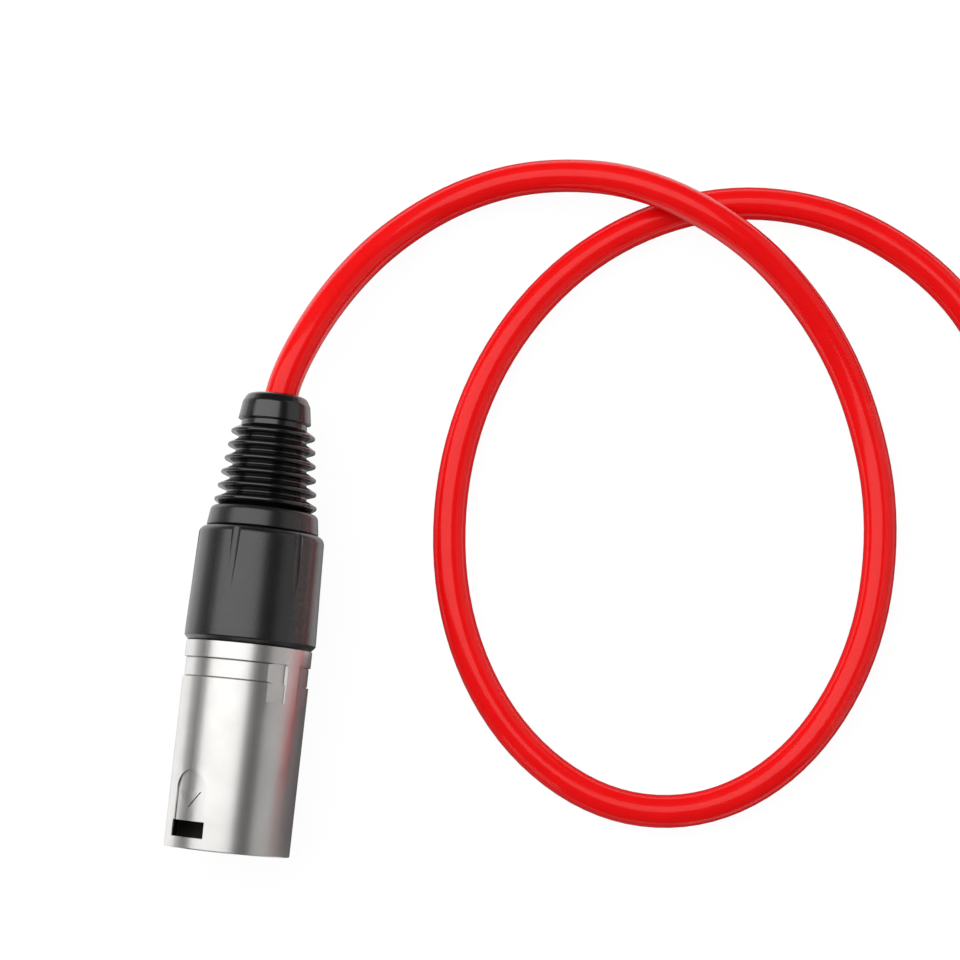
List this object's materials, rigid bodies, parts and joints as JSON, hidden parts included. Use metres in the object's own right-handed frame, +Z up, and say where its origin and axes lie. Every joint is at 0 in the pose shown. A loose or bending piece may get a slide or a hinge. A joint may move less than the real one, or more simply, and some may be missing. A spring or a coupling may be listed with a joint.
{
  "type": "xlr cable coil",
  "caption": "Balanced audio cable with a three-pin male plug, a looped red lead wound and tied for storage, and a latching female plug.",
  "frame": {"origin": "below the middle of the male plug, on the surface that it lies on", "axes": "+Y along the male plug's axis from its open end towards its cable, +Z up, +X towards the loop and the coil"},
  "size_m": [0.2316, 0.1103, 0.0236],
  "materials": {
    "nickel_shell": "satin nickel plate with a fine cast grain",
    "nickel_latch": "satin nickel plate",
    "black_insert": "moulded, matt",
    "white_chuck": "moulded, satin",
    "black_nut": "moulded, satin",
    "black_ring": "moulded, satin",
    "black_boot": "soft moulded elastomer, satin",
    "red_jacket": "smooth extruded jacket, glossy",
    "bare_copper": "tinned copper strands, twisted",
    "core_red": "core insulation",
    "core_white": "core insulation",
    "silver_contact": "silver plate",
    "spring_steel": "drawn wire",
    "black_tie": "hook-and-loop tape"
  },
  "bodies": {
    "root": {"male_shell": "nickel_shell", "male_insert": "black_insert", "male_pin_1": "silver_contact", "male_pin_2": "silver_contact", "male_pin_3": "silver_contact", "male_chuck": "white_chuck", "male_cable_end": "red_jacket", "male_core_shield": "bare_copper", "male_core_hot": "core_red", "male_core_cold": "core_white", "male_earth_tab": "silver_contact", "cable_lead": "red_jacket", "cable_coil": "red_jacket", "cable_tail": "red_jacket", "cable_tie": "black_tie", "female_shell": "nickel_shell", "female_insert": "black_insert", "female_latch_pin": "spring_steel", "female_latch_spring": "spring_steel", "female_socket_1": "silver_contact", "female_socket_2": "silver_contact", "female_socket_3": "silver_contact", "female_chuck": "white_chuck", "female_cable_end": "red_jacket", "female_core_shield": "bare_copper", "female_core_hot": "core_red", "female_core_cold": "core_white", "female_earth_tab": "silver_contact"},
    "male_backing": {"male_boot": "black_boot", "male_coding_ring": "black_ring"},
    "male_nut_body": {"male_nut": "black_nut"},
    "female_backing": {"female_boot": "black_boot", "female_coding_ring": "black_ring"},
    "female_nut_body": {"female_nut": "black_nut"},
    "latch": {"female_latch_lever": "nickel_latch"}
  },
  "joints": [
    {"name": "male_nut_slide", "type": "slide", "parent": "root", "child": "male_backing", "axis": [0, 1, 0], "range_m": [0, 0.0025]},
    {"name": "male_nut_spin", "type": "hinge", "parent": "male_backing", "child": "male_nut_body", "pos_m": [0, 0.0049, 0.0098], "axis": [0, 1, 0], "range_deg": [0, 720]},
    {"name": "female_nut_slide", "type": "slide", "parent": "root", "child": "female_backing", "axis": [0, -1, 0], "range_m": [0, 0.0025]},
    {"name": "female_nut_spin", "type": "hinge", "parent": "female_backing", "child": "female_nut_body", "pos_m": [0.212, 0.0339, 0.0098], "axis": [0, -1, 0], "range_deg": [0, 720]},
    {"name": "latch_press", "type": "hinge", "parent": "root", "child": "latch", "pos_m": [0.212, 0.0478, 0.0169], "axis": [-1, 0, 0], "range_deg": [0, 5.5], "stiffness_Nm_per_rad": 0.3, "springref_deg": -5.73, "deforming": ["female_latch_spring"]}
  ],
  "couplings": [
    {"joint": "male_nut_spin", "follows": "male_nut_slide", "rad_per_m": 5026.5},
    {"joint": "female_nut_spin", "follows": "female_nut_slide", "rad_per_m": 5026.5}
  ]
}
